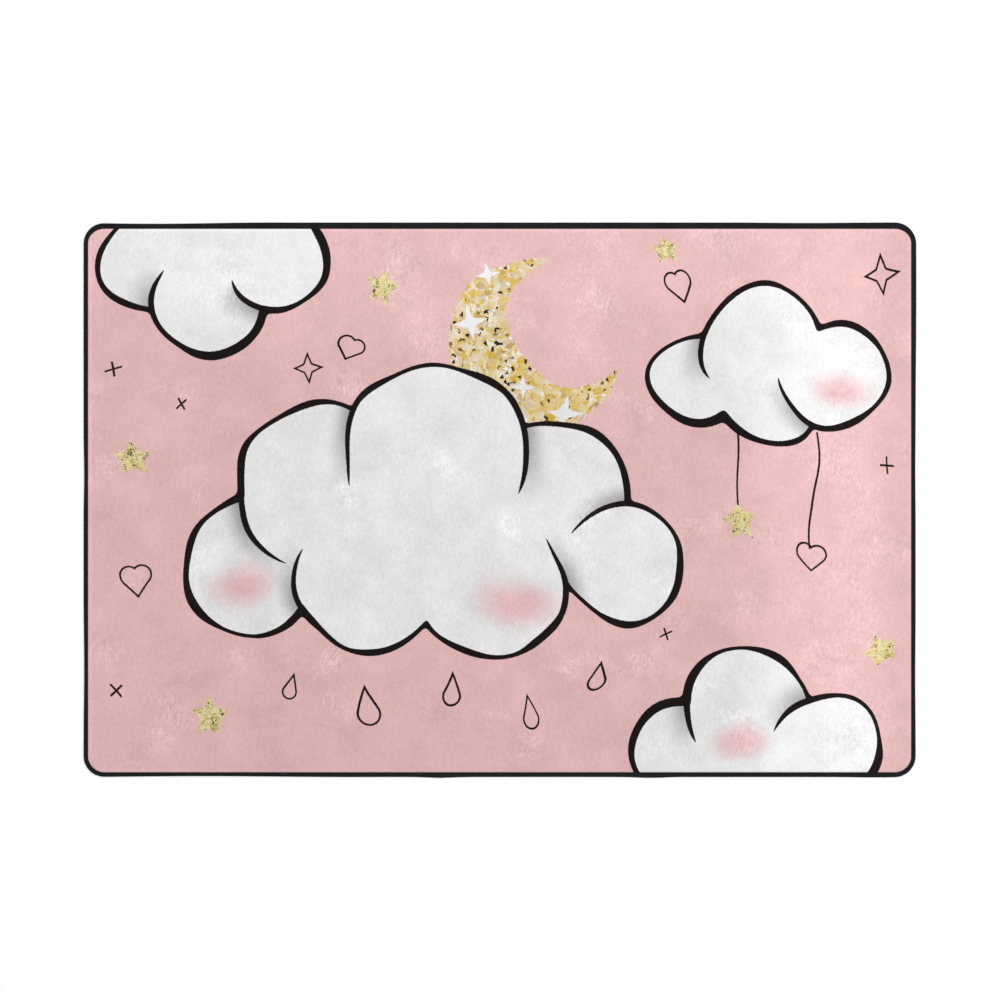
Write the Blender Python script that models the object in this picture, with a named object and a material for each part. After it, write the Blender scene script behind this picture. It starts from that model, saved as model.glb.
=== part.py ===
"""A rectangular nursery rug: one foam-backed, printed flannel mat with rounded corners, and one strip of
woven tape that is folded over the mat's edge and sewn down all round.

Metres, +Z up. The rug lies on the floor at z = 0, with its long side along X. The origin is on the floor
under the middle of the outline.

The seam line, where the tape's lip meets the print, is a true rounded rectangle. The tape's outer edge
strays from it by a few millimetres, so the black border is wider in some places than in others.
"""

import math

import bmesh
import bpy
from mathutils import Vector

# The outline
RUG_LENGTH = 1.829
RUG_WIDTH = 1.219
CORNER_RADIUS = 0.046
STATION_STEP = 0.032
CORNER_STEPS = 8

# The mat's layers together, and the tape
MAT_THICKNESS = 0.0065
TAPE_THICKNESS = 0.0009
BOUND_THICKNESS = 0.0056
LIP_HEIGHT = 0.0048
SEAT_GAP = 0.0003

# How far the mat needs to swell back to its full thickness beside the seam: on top, in a few steps that
# come closer together near the tape, and underneath in one
PUFF_REACH = 0.0100
PUFF_SHARES = (1.0, 0.6, 0.3, 0.1)
UNDER_REACH = 0.0060

# How far the tape laps over the print on each side of the rug, and as far again over the back
LAPS = {"right": 0.0098, "back": 0.0138, "left": 0.0097, "front": 0.0104}

# Where the tape's outer edge strays: along is measured from the middle of the side, towards +X or +Y,
# and push is outwards. Each bulge fades to nothing at its reach.
BULGE_COLUMNS = ("side", "along", "reach", "push")
BULGES = (
    ("back", -0.760, 0.260, -0.0027),
    ("back", 0.675, 0.170, -0.0010),
    ("front", -0.650, 0.330, -0.0019),
    ("front", -0.130, 0.060, 0.0018),
    ("front", 0.332, 0.070, 0.0017),
    ("front", 0.820, 0.090, 0.0009),
    ("left", 0.053, 0.090, -0.0012),
    ("left", -0.370, 0.170, -0.0012),
    ("right", 0.470, 0.330, 0.0016),
    ("right", 0.064, 0.110, -0.0007),
    ("right", -0.390, 0.150, -0.0008),
)

# Faces round the tape's folded edge and on its crown, and the least angle that stays a crease
FOLD_STEPS = 6
CROWN_STEPS = 3
CREASE_ANGLE = math.radians(40)

PRINT_PINK = (0.79, 0.49, 0.50, 1.0)
TAPE_BLACK = (0.018, 0.019, 0.021, 1.0)


def clear_scene():
    for thing in list(bpy.data.objects):
        bpy.data.objects.remove(thing)


def cloth_material(name, colour, roughness):
    material = bpy.data.materials.new(name)
    material.use_nodes = True
    shader = material.node_tree.nodes["Principled BSDF"]
    shader.inputs["Base Color"].default_value = colour
    shader.inputs["Roughness"].default_value = roughness
    shader.inputs["Metallic"].default_value = 0.0
    return material


def bulge(side, point):
    """How far the tape's outer edge lies outside the true outline beside a point of it."""
    along = point.x if side in ("front", "back") else point.y
    push = 0.0
    for row in BULGES:
        entry = dict(zip(BULGE_COLUMNS, row))
        distance = abs(along - entry["along"])
        if entry["side"] == side and distance < entry["reach"]:
            push += entry["push"] * (1 + math.cos(math.pi * distance / entry["reach"])) / 2
    return push


def side_stations(side, start, end, outward):
    """Stations along one straight side: its point, outward direction, lap and bulge."""
    run = end - start
    steps = round(run.length / STATION_STEP)
    stations = []
    for step in range(1, steps):
        point = start + run * (step / steps)
        stations.append((point, outward, LAPS[side], bulge(side, point)))
    return stations


def corner_stations(centre, first_angle, side, next_side):
    """Stations round one corner, from the end of one side to the start of the next."""
    stations = []
    for step in range(CORNER_STEPS + 1):
        share = step / CORNER_STEPS
        angle = first_angle + share * math.pi / 2
        outward = Vector((math.cos(angle), math.sin(angle), 0.0))
        point = centre + outward * CORNER_RADIUS
        lap = LAPS[side] * (1 - share) + LAPS[next_side] * share
        push = bulge(side, point) * (1 - share) + bulge(next_side, point) * share
        stations.append((point, outward, lap, push))
    return stations


def outline_stations():
    """Every station of the outline, anticlockwise seen from above, from the right side's foot."""
    across = RUG_LENGTH / 2 - CORNER_RADIUS
    deep = RUG_WIDTH / 2 - CORNER_RADIUS
    sides = ("right", "back", "left", "front")
    quarters = ((across, deep), (-across, deep), (-across, -deep), (across, -deep))
    corners = [Vector((x, y, 0.0)) for x, y in quarters]
    stations = []
    for index, side in enumerate(sides):
        angle = index * math.pi / 2
        outward = Vector((round(math.cos(angle)), round(math.sin(angle)), 0.0))
        start = corners[index - 1] + outward * CORNER_RADIUS
        end = corners[index] + outward * CORNER_RADIUS
        stations += side_stations(side, start, end, outward)
        stations += corner_stations(corners[index], angle, side, sides[(index + 1) % 4])
    return stations


def rise(share):
    """From 0 to 1, quick at first and level at the end, as padding swells beside a seam."""
    return math.sin(share * math.pi / 2)


def fold(radius):
    """Points round the folded edge, from its top to its underside, as (in from the outer edge, height)."""
    middle = BOUND_THICKNESS / 2
    points = []
    for step in range(FOLD_STEPS + 1):
        angle = math.pi / 2 - step / FOLD_STEPS * math.pi
        points.append((middle - radius * math.cos(angle), middle + radius * math.sin(angle)))
    return points


def crown(lap, drop):
    """Points over the top lap, from its lip to the folded edge, lowered by drop."""
    start, end = lap, BOUND_THICKNESS / 2
    points = []
    for step in range(CROWN_STEPS):
        share = step / CROWN_STEPS
        height = LIP_HEIGHT + (BOUND_THICKNESS - LIP_HEIGHT) * rise(share)
        points.append((start + (end - start) * share, height - drop))
    return points


def tape_section(lap):
    """The tape's closed section: over the top lap, round the edge, under, and back along its inside."""
    radius = BOUND_THICKNESS / 2
    outside = crown(lap, 0.0) + fold(radius) + [(lap, 0.0)]
    inside = crown(lap, TAPE_THICKNESS) + fold(radius - TAPE_THICKNESS) + [(lap, TAPE_THICKNESS)]
    return outside + inside[::-1]


def mat_section(lap):
    """The mat's edge from the rim of its top, down beside the lip, round its edge, to its underside."""
    squeeze = TAPE_THICKNESS + SEAT_GAP
    seam = lap + SEAT_GAP
    hidden = crown(seam, squeeze) + fold(BOUND_THICKNESS / 2 - squeeze)
    low = hidden[0][1]
    beside = []
    for share in PUFF_SHARES:
        height = low + (MAT_THICKNESS - low) * rise(math.sqrt(share))
        beside.append((seam + PUFF_REACH * share, height))
    return beside + hidden + [(seam, squeeze), (seam + UNDER_REACH, 0.0)]


def rings_of(section, stations):
    """One ring of points round the rug for each point of the section."""
    rows = []
    for point, outward, lap, push in stations:
        row = []
        for inset, height in section(lap + push):
            row.append(point + outward * (push - inset) + Vector((0.0, 0.0, height)))
        rows.append(row)
    return list(zip(*rows))


def loft(name, rings, closed, material, collection):
    """Skins ring after ring. A closed section joins its last ring to its first; an open one is capped."""
    bm = bmesh.new()
    loops = [[bm.verts.new(point) for point in ring] for ring in rings]
    pairs = list(zip(loops, loops[1:]))
    if closed:
        pairs.append((loops[-1], loops[0]))
    else:
        bm.faces.new(loops[0])
        bm.faces.new(loops[-1])
    for upper, lower in pairs:
        for index in range(len(upper)):
            after = (index + 1) % len(upper)
            bm.faces.new((upper[index], lower[index], lower[after], upper[after]))
    bmesh.ops.recalc_face_normals(bm, faces=bm.faces)
    mesh = bpy.data.meshes.new(name)
    bm.to_mesh(mesh)
    bm.free()
    mesh.materials.append(material)
    mesh.shade_smooth()
    mesh.set_sharp_from_angle(angle=CREASE_ANGLE)
    collection.objects.link(bpy.data.objects.new(name, mesh))


def centre_of(rings):
    """The middle of the outline's box, which becomes the origin."""
    points = [point for ring in rings for point in ring]
    middle = [(min(p[axis] for p in points) + max(p[axis] for p in points)) / 2 for axis in (0, 1)]
    return Vector((middle[0], middle[1], 0.0))


def centred(stations):
    """The same stations with the middle of the rug's outline at the origin."""
    middle = centre_of(rings_of(tape_section, stations))
    return [(point - middle, outward, lap, push) for point, outward, lap, push in stations]


def build_mat(stations, collection):
    """The padded flannel mat: flat above and below, and pinched thin where the tape holds its edge."""
    flannel = cloth_material("printed_flannel", PRINT_PINK, 0.95)
    loft("mat", rings_of(mat_section, stations), False, flannel, collection)


def build_edge_binding(stations, collection):
    """The tape: one endless strip with a U-shaped section, open towards the middle of the rug."""
    tape = cloth_material("binding_tape", TAPE_BLACK, 0.75)
    loft("edge_binding", rings_of(tape_section, stations), True, tape, collection)


def main():
    clear_scene()
    collection = bpy.data.collections.new("nursery_rug")
    bpy.context.scene.collection.children.link(collection)
    stations = centred(outline_stations())
    build_mat(stations, collection)
    build_edge_binding(stations, collection)


main()
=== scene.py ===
"""The looks of a printed nursery rug, dressed over its solids.

A padded flannel mat carries a printed sky: pale clouds with bold outlines, a moon and stars in gold
glitter, and thin doodles, all on pink. A woven black tape is folded over the mat's edge, and lockstitches
hold it. Lengths are metres, and +Y is the top of the print.
"""

import math

import bmesh
import bpy
import numpy as np
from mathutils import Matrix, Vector, noise


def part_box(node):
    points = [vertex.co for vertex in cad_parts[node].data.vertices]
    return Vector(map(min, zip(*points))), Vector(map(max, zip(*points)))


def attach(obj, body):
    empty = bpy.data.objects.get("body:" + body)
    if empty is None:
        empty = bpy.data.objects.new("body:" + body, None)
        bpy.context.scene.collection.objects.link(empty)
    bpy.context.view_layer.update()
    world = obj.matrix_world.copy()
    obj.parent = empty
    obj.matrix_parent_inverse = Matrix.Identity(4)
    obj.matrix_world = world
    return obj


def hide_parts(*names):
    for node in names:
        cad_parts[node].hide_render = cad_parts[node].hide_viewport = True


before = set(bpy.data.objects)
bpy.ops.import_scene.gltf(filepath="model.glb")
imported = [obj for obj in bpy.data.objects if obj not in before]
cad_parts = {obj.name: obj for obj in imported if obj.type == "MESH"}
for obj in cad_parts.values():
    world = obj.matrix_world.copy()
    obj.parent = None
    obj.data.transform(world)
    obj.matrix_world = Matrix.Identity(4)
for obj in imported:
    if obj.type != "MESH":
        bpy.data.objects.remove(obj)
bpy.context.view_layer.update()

# Patterns are given in millimetres
MM = 0.001

# The photograph's frame, at the height of the rug's top. Its middle lies a little above the rug's.
FRAME_WIDTH = 2.197
EYE_SHIFT = 0.0004
LENS_MM = 100.0
SENSOR_MM = 36.0
VIEW_DEPTH = 60.0

# The rug's layers, as the solids have them. Points within the tolerance are level, and no length that is
# divided by counts as less than the least.
MAT_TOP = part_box("mat")[1][2]
BOUND_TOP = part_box("edge_binding")[1][2]
LIP_TOP = 0.0048
TAPE_THICKNESS = 0.0009
LEVEL_TOLERANCE = 0.00002
LEAST_LENGTH = 1e-9

# The mat's grid: its lines crowd together beside the seam. Two that lie within the tolerance are the same.
FINE_STEP = 0.0012
LINE_TOLERANCE = FINE_STEP / 10
COARSE_STEP = 0.0062
STEP_GROWTH = 1.16

# Where the mat goes from the lip line: out under the tape, round its own edge and back underneath
LIP_LINE_HEIGHT = 0.00375
FOLD_COLUMNS = ("out", "height")
EDGE_FOLD = (
    (0.0000, LIP_LINE_HEIGHT),
    (0.0015, 0.00372),
    (0.0035, 0.00385),
    (0.0050, 0.00395),
    (0.0061, 0.00355),
    (0.0066, 0.00280),
    (0.0061, 0.00190),
    (0.0048, 0.00130),
    (0.0010, 0.00125),
    (-0.0020, 0.00100),
    (-0.0080, 0.00000),
)
# The line of the fold, counted from the lip line, where the printed face ends and the backing starts
BACKING_LINE = 5

# The mat's flat map: how its width lies, then how the heights of its top and of its underside do
MAP_LEFT = 0.002
MAP_WIDTH = 0.996
TOP_MAP = (0.140, 0.998)
UNDERSIDE_MAP = (0.005, 0.130)

# The seam: how far the padding needs to swell back, the ridge and the trough behind it, and its puckers
PUFF_REACH = 0.0100
RIDGE_PLACE = 0.0140
RIDGE_WIDTH = 0.0070
RIDGE_HEIGHT = 0.00035
TROUGH_PLACE = 0.0270
TROUGH_WIDTH = 0.0080
TROUGH_DEPTH = 0.00030
PUCKER_LENGTH = 0.0210
PUCKER_REACH = 0.0110
PUCKER_HEIGHT = 0.00055

# The padding's own small and broad waves, which settle to nothing beside the seam
SMALL_WAVE_LENGTH = 0.0083
SMALL_WAVE_HEIGHT = 0.00016
BROAD_WAVE_LENGTH = 0.0556
BROAD_WAVE_HEIGHT = 0.00030
SETTLE_REACH = 0.004

# Where each kind of wave starts in the noise: its number times the offset
NOISE_OFFSET = (17.3, 5.1, 9.7)
SMALL_WAVE_NUMBER = 1
BROAD_WAVE_NUMBER = 2
PUCKER_NUMBER = 3
TAPE_WAVE_NUMBER = 5

# The tape's section: its lines on the upper lap, as shares of the way from the lip to the fold, and the
# steps round the fold. Its cut edges bulge by a share of half its thickness.
LAP_SHARES = (0.0, 0.12, 0.35, 0.7)
ROUND_STEPS = 6
CUT_EDGE_BULGE = 0.6

# The tape's grid and its waves, and how far each stitch draws it down. Points closer than the weld are one.
TAPE_STEP = 0.0017
WELD = 0.00001
TAPE_WAVE = 0.00018
STITCH_PULL = 0.00022
STITCH_PULL_REACH = 0.0015

# The stitches. They lie a little flat: their heights are shares of the thread's width.
STITCH_INSET = 0.0020
STITCH_LENGTH = 0.0029
THREAD_WIDTH = 0.00055
TOP_RISE = 0.00006
TOP_PLUMPNESS = 0.8
LOWER_RISE = 0.00014
LOWER_PLUMPNESS = 0.5
STITCH_LEAN = (0.02, 0.10)
STITCH_SEED = 7

# The channel in the tape's under lap that the lower stitches lie in
CHANNEL_WIDTH = 0.0028
CHANNEL_DEPTH = 0.00026

# The tape's inner side is out of sight, so it keeps only some of the outer side's lines, and runs back
INNER_LINES = (13, 10, 9, 8, 7, 6, 5, 4, 3, 0)

# The stage. The floor lies just under the rug, so that the two faces don't coincide.
FLOOR_GAP = 0.0002
FLOOR_RADIUS = 14.0
FLOOR_GLOW = 0.20
FLOOR_COLOUR = "#F4F4F4"
LAMP_PLACE = Vector((0.6, 0.5, 3.4))
LAMP_LENGTH = 4.0
LAMP_WIDTH = 3.0
LAMP_WATTS = 86.0
SURROUND_STRENGTH = 0.534
WHITE = "#FFFFFF"

# The print's ink, as half-widths of its lines, how a curl's width tapers, and the soft rim of each shape
THIN_LINE = 0.0023
BOLD_LINE = 0.0068
BOLD_SWELL = 0.0040
CURL_LINE = 0.0075
CURL_TAPER = 0.5
INK_RIM = 0.0006

# How far outlines sway as a hand draws them, and how far the ink strays along the fibres
SWAY = 0.036
BLEED = 0.0016

# How softly a cloud's puffs run together. A star's shape is its number of tips, and how far out it is
# notched as a share of its size. A drop's tip is so many radii from its middle. A blush fades from full to
# nothing between two shares of its size.
PUFF_BLEND = 0.018
GOLD_STAR = (5, 0.56)
SPARKLE = (4, 0.32)
LINE_STAR = (4, 0.42)
DROP_TIP = 2.5
BLUSH_FADE = (1.15, 0.15)

# The grey shade outside an arc starts within this of its line and fades out over that distance
ARC_SHADE_START = 0.004
ARC_SHADE_REACH = 0.055

# Shapes of the print. Each x and y is the shape's middle, and its turn is in degrees.
PUFF_COLUMNS = ("x", "y", "radius")
CLOUDS = (
    (
        (-0.545, -0.145, 0.150),
        (-0.400, 0.035, 0.175),
        (-0.140, 0.095, 0.200),
        (0.115, 0.010, 0.165),
        (0.270, -0.140, 0.130),
        (-0.290, -0.180, 0.155),
        (-0.020, -0.185, 0.165),
        (-0.150, -0.090, 0.130),
    ),
    (
        (0.440, 0.265, 0.105),
        (0.575, 0.345, 0.130),
        (0.735, 0.275, 0.115),
        (0.590, 0.235, 0.110),
    ),
    (
        (0.395, -0.545, 0.105),
        (0.540, -0.465, 0.135),
        (0.715, -0.540, 0.120),
        (0.560, -0.590, 0.090),
    ),
    (
        (-0.775, 0.525, 0.105),
        (-0.640, 0.440, 0.125),
        (-0.490, 0.525, 0.110),
        (-0.640, 0.575, 0.130),
    ),
)
# The arcs inside a cloud follow its own puffs, counted in the table above from nought
CURL_COLUMNS = ("cloud", "puff", "facing", "spread")
CURLS = (
    (0, 1, 193, 58),
    (0, 2, 150, 46),
    (0, 2, 23, 50),
    (0, 4, 85, 58),
    (0, 5, 205, 56),
    (0, 6, -9, 50),
    (1, 1, 163, 58),
    (1, 2, 243, 60),
    (2, 1, 157, 54),
    (2, 2, 111, 50),
    (3, 1, 199, 56),
    (3, 2, 254, 50),
)
BLUSH_COLUMNS = ("x", "y", "width", "height", "turn")
BLUSHES = (
    (-0.565, -0.175, 0.100, 0.062, 14),
    (0.035, -0.225, 0.120, 0.070, -10),
    (0.755, 0.245, 0.080, 0.050, -15),
    (0.525, -0.530, 0.085, 0.050, 8),
)
MOON = {"x": 0.080, "y": 0.345, "radius": 0.195, "bite_x": 0.165, "bite_y": 0.400, "bite_radius": 0.150}
MOTIF_COLUMNS = ("x", "y", "size", "turn")
GOLD_STARS = (
    (-0.800, 0.095, 0.040, 12),
    (-0.270, 0.470, 0.038, -14),
    (0.520, -0.055, 0.042, 6),
    (0.835, -0.330, 0.038, 20),
    (-0.640, -0.470, 0.040, -8),
    (0.365, 0.545, 0.036, 10),
)
SPARKLES = (
    (-0.062, 0.400, 0.042, 10),
    (-0.020, 0.505, 0.026, 14),
    (0.140, 0.195, 0.040, -8),
    (0.040, 0.245, 0.026, 4),
)
HEARTS = (
    (-0.800, -0.185, 0.030, 12),
    (0.690, -0.120, 0.028, -10),
    (0.390, 0.465, 0.026, 16),
    (-0.330, 0.330, 0.024, -18),
)
DROPS = (
    (-0.470, -0.420, 0.017, -12),
    (-0.290, -0.465, 0.021, 4),
    (-0.110, -0.430, 0.017, -6),
    (0.065, -0.480, 0.020, 10),
    (0.215, -0.395, 0.016, -4),
)
PLUSES = (
    (-0.860, 0.290, 0.016, 10),
    (-0.700, 0.215, 0.013, 40),
    (0.855, 0.080, 0.016, 0),
    (0.360, -0.300, 0.014, 20),
    (-0.855, -0.420, 0.014, 45),
)
STRING_COLUMNS = ("x", "top", "foot")
STRINGS = (
    (0.520, 0.140, -0.018),
    (0.690, 0.155, -0.094),
)
LINE_STARS = (
    (-0.420, 0.290, 0.034, 0),
    (0.845, 0.500, 0.038, 12),
)

# The inks, on cloth that gives back all the light: the nap's tone darkens them afterwards
PINK = "#F7CACA"
BLUSH = "#F9CDCE"
SHADE = "#59595B"
SHADE_DEPTH = 0.62
INK = "#1E1717"

# The colours of the printed glitter by their share, coarse in the moon and fine in the stars
COARSE_FLAKE = 17 * MM
COARSE_COLOURS = (
    (0.00, "#F3DEA6"),
    (0.18, "#F5E4D3"),
    (0.37, "#FAECD0"),
    (0.51, "#F0D486"),
    (0.64, "#E9BF3E"),
    (0.76, "#DFC484"),
    (0.85, "#C09A52"),
    (0.91, "#FFFCF2"),
)
FINE_FLAKE = 6.5 * MM
FINE_COLOURS = (
    (0.00, "#FAECB4"),
    (0.16, "#ECD98C"),
    (0.32, "#F4E8BE"),
    (0.46, "#F2DE8E"),
    (0.60, "#DAC674"),
    (0.74, "#FFF6CC"),
    (0.85, "#C8B070"),
    (0.94, "#96824F"),
)

# The flakes, in shares of their size: how ragged they are, how large the upper layer's are and how large
# the clusters of like colours. Then how much the upper layer covers, and how far clusters sway the colour.
FLAKE_SHAKE = 0.6
FLAKE_OVER = 0.9
FLAKE_GATHER = 2.4
FLAKE_VEIL = 0.5
FLAKE_DRIFT = 0.45

# The bits strewn on the flakes: their size as a share of a flake's, their colours by their share, and the
# share from which a bit shows at all
BIT_SHARE = 0.40
COARSE_BITS = (
    (0.00, "#E4BE50"),
    (0.80, "#F0D8BC"),
    (0.83, "#FFFFFF"),
    (0.86, "#EFCF62"),
    (0.93, "#9A7638"),
    (0.972, "#372B2A"),
)
FINE_BITS = (
    (0.00, "#EAD98E"),
    (0.82, "#FFFBE2"),
    (0.86, "#D9C98A"),
    (0.94, "#8F7C4A"),
    (0.985, "#372B2A"),
)
BITS_FROM = 0.76

# The glitter's outline is frayed, and softer than the ink's
FRAY = 0.0110
FRAY_RIM = 0.0022

# How much light the nap gives back, and the painted light added to it: the colour is made lighter towards
# three sides, most of all the right, as light falls across the rug. The gain starts at one place along the
# axis, 0 for x and 1 for y, and is full at the next. Both places wander by up to half the shift.
TONE = 0.735
PAINTED_LIGHT_COLUMNS = ("axis", "start", "full", "gain")
PAINTED_LIGHT_RAMPS = (
    (0, 0.41, 0.78, 0.177),
    (0, -0.50, -0.85, 0.045),
    (1, 0.16, 0.50, 0.085),
)
PAINTED_LIGHT_SHIFT = (0.30, 0.34, 0.0)

# Painted shade along the right-hand binding: from one x to the next the painted light falls back to only this
# share of its gain. Both places wander here too.
SEAM_SHADE_START = 0.808
SEAM_SHADE_FULL = 0.880
SEAM_SHADE_LIGHT_SHARE = 0.42
SEAM_SHADE_SHIFT = 0.11

# How far the nap strays from its tone, in patches, in smudges, in brushed streaks and in its tufts. A noise
# texture seldom leaves the band between these two values.
PATCH_TONE = 0.060
SMUDGE_TONE = 0.062
STREAK_TONE = 0.055
TUFT_TONE = 0.042
NOISE_LOW = 0.30
NOISE_HIGH = 0.70

# Where the nap is scuffed, it is smudged, its streaks and tufts stand out and its ink fades in flecks. Scuffs
# lie where their noise passes a value, which is lower where more painted light is added, so they are commoner
# there. Where no painted light is added they are paler too, by the scuff tone.
SCUFF_START_UNLIT = 0.58
SCUFF_START_LIT = 0.38
SCUFF_FULL = 0.70
SCUFF_TONE = 0.055
NAP_SMOOTH = 0.97
NAP_SCUFFED = 2.45
FLECK_START = 0.45
FLECK_FULL = 0.75
FLECK_FADE = 0.38

# Painted highlight: the colour is made paler beside the binding, where light catches the puffed seam, most of
# all at the back and the left. The lean is y less x, as shares of the rug's half sides: it grows towards the
# back left corner.
SEAM_HIGHLIGHT_LOW = 0.0175
SEAM_HIGHLIGHT_HIGH = 0.140
LEAN_LOW = -1.0
LEAN_HIGH = 0.8
SEAM_HIGHLIGHT_REACH = 0.0110

# The sizes of the cloth's patterns. The nap's tufts are about 1 mm, the backing's threads 0.6 mm and the
# tape's ribs 0.8 mm. All three are too fine to show at 2.2 mm to a pixel, so they are drawn coarser. The
# streaks run up the print, and the ribs slant across the tape.
SWAY_SIZE = 180 * MM
BLEED_SIZE = 2.4 * MM
PRESS_SIZE = 125 * MM
FRAY_SIZE = 4.5 * MM
# The painted light's sides wander over this size
PAINTED_LIGHT_SIZE = 310 * MM
PATCH_SIZE = 110 * MM
SCUFF_SIZE = 140 * MM
SMUDGE_SIZE = 28 * MM
STREAK_LENGTH = 12.5 * MM
STREAK_WIDTH = 6.7 * MM
STREAK_LEAN = math.radians(80)
TUFT_SIZE = 3.0 * MM
BACKING_THREAD = 1.4 * MM
BACKING_PATCH = 70 * MM
TAPE_RIB = 1.5 * MM
RIB_SLANT = math.radians(38)
TAPE_FUZZ = 1.1 * MM
TAPE_WEAR = 45 * MM
THREAD_TWIST = 0.4 * MM

# How far a wave texture of scale one turns in a metre, in radians
WAVE_TURN = 20

# The first two outputs of a node that splits a place
X_AND_Y = slice(2)

# The finishes: each cloth's colours by their place in its pattern, how strongly its finer patterns show,
# its roughness where the pattern is low and where it is high, and the band that the tape's relief lies in
NAP_ROUGHNESS = (0.88, 1.0)
BACKING_LOW = 0.35
BACKING_HIGH = 0.95
BACKING_COLOURS = ((BACKING_LOW, "#CFCBC4"), (BACKING_HIGH, "#E4E1DA"))
BACKING_WEAVE_SHARE = 0.35
BACKING_ROUGHNESS = (0.94, 0.84)
TAPE_COLOURS = ((0.35, "#0C0D0E"), (0.90, "#18191B"))
TAPE_FUZZ_SHARE = 0.5
TAPE_RIB_SHARE = 0.25
TAPE_RELIEF = (0.2, 1.3)
TAPE_ROUGHNESS = (0.74, 0.54)
THREAD_COLOURS = ((0.35, "#101112"), (0.70, "#202123"))
THREAD_ROUGHNESS = (0.58, 0.44)


def linear(colour):
    """An sRGB hex colour as linear red, green, blue and alpha."""
    parts = [int(colour[place:place + 2], 16) / 255 for place in (1, 3, 5)]
    return [part / 12.92 if part <= 0.04045 else ((part + 0.055) / 1.055) ** 2.4 for part in parts] + [1.0]


def rows(columns, table):
    """The rows of a table, each by its column names."""
    return [dict(zip(columns, row)) for row in table]


def feed(tree, socket, value):
    """Links a node's output to a socket, or sets the socket to a plain value."""
    if isinstance(value, bpy.types.NodeSocket):
        tree.links.new(value, socket)
    else:
        socket.default_value = value


def add(tree, kind, inputs=(), output=0, stops=(), **settings):
    """Adds one shader node with its settings, and gives one of its outputs, or a slice of them.

    The inputs are links or values, in order or by name. The stops are a colour ramp's places and colours.
    """
    node = tree.nodes.new("ShaderNode" + kind)
    for name, value in settings.items():
        setattr(node, name, value)
    for index, (place, colour) in enumerate(stops):
        marks = node.color_ramp.elements
        mark = marks[index] if index < 2 else marks.new(place)
        mark.position = place
        mark.color = linear(colour)
    named = inputs if isinstance(inputs, dict) else dict(enumerate(inputs))
    free = [socket for socket in node.inputs if not socket.is_unavailable]
    for key, value in named.items():
        feed(tree, node.inputs[key] if isinstance(key, str) else free[key], value)
    ready = [socket for socket in node.outputs if not socket.is_unavailable]
    return node.outputs[output] if isinstance(output, str) else ready[output]


def sized(place, size, **others):
    """The inputs of a pattern whose features are of one size, with any others by name."""
    return {"Vector": place, "Scale": 1 / size, **others}


def wander(tree, place, size, detail):
    """A shift to and fro, by half a unit at most each way, that changes over one size."""
    swing = add(tree, "TexNoise", sized(place, size, Detail=detail), "Color", noise_dimensions="2D")
    return add(tree, "VectorMath", (swing, (0.5, 0.5, 0.5)), operation="SUBTRACT")


# The print's shapes. Each gives the distance to the shape's outline: below zero inside it, in metres, or
# for a motif in shares of its size.

def placed(tree, point, row, across="size", up="size"):
    """The point as a shape sees it: from its middle, upright, and in shares of the sizes in two columns."""
    inputs = {"Vector": point, "Location": (row["x"], row["y"], 0.0)}
    inputs["Rotation"] = (0.0, 0.0, math.radians(row["turn"]))
    inputs["Scale"] = (row[across], row[up], 1.0)
    return add(tree, "Mapping", inputs, vector_type="TEXTURE")


def circle_edge(tree, point, x, y, radius):
    """The distance to a circle."""
    reach = add(tree, "VectorMath", (point, (x, y, 0.0)), operation="DISTANCE")
    return add(tree, "Math", (reach, radius), operation="SUBTRACT")


def of_all(tree, values, operation, *more):
    """One operation run through several values. The MINIMUM of distances is that to the nearest shape."""
    result = values[0]
    for value in values[1:]:
        result = add(tree, "Math", (result, value, *more), operation=operation)
    return result


def motifs(tree, point, edge, table, *shape):
    """The distance in metres to each motif of a table, all of one kind."""
    edges = []
    for row in rows(MOTIF_COLUMNS, table):
        share = edge(tree, placed(tree, point, row), *shape)
        edges.append(add(tree, "Math", (share, row["size"]), operation="MULTIPLY"))
    return edges


def cloud_edge(tree, point, puffs):
    """Round puffs run together into one outline."""
    edges = [circle_edge(tree, point, row["x"], row["y"], row["radius"]) for row in rows(PUFF_COLUMNS, puffs)]
    return of_all(tree, edges, "SMOOTH_MIN", PUFF_BLEND)


def star_edge(tree, place, tips, waist):
    """A star with tips at its full size and notches at the waist's share of it."""
    x, y = add(tree, "SeparateXYZ", (place,), X_AND_Y)
    reach = add(tree, "VectorMath", (place,), operation="LENGTH")
    angle = add(tree, "Math", (x, y), operation="ARCTAN2")
    from_tip = add(tree, "Math", (angle, math.pi / tips), operation="PINGPONG")
    notch = Vector((math.cos(math.pi / tips), math.sin(math.pi / tips))) * waist
    slant = math.atan2(1 - notch.x, notch.y)
    turned = add(tree, "Math", (from_tip, slant), operation="SUBTRACT")
    share = add(tree, "Math", (turned,), operation="COSINE")
    along = add(tree, "Math", (reach, share), operation="MULTIPLY")
    return add(tree, "Math", (along, math.cos(slant)), operation="SUBTRACT")


def heart_edge(tree, place):
    """A square stood on its corner, with a half circle on each of its upper sides."""
    x, y = add(tree, "SeparateXYZ", (place,), X_AND_Y)
    side = add(tree, "Math", (x,), operation="ABSOLUTE")
    rise = add(tree, "Math", (y,), operation="ABSOLUTE")
    both = add(tree, "Math", (side, rise), operation="ADD")
    square = add(tree, "Math", (both, math.sqrt(0.5), -math.sqrt(0.5)), operation="MULTIPLY_ADD")
    folded = add(tree, "CombineXYZ", (side, y, 0.0))
    lobe = circle_edge(tree, folded, 0.5, 0.5, math.sqrt(0.5))
    return of_all(tree, (square, lobe), "MINIMUM")


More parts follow.
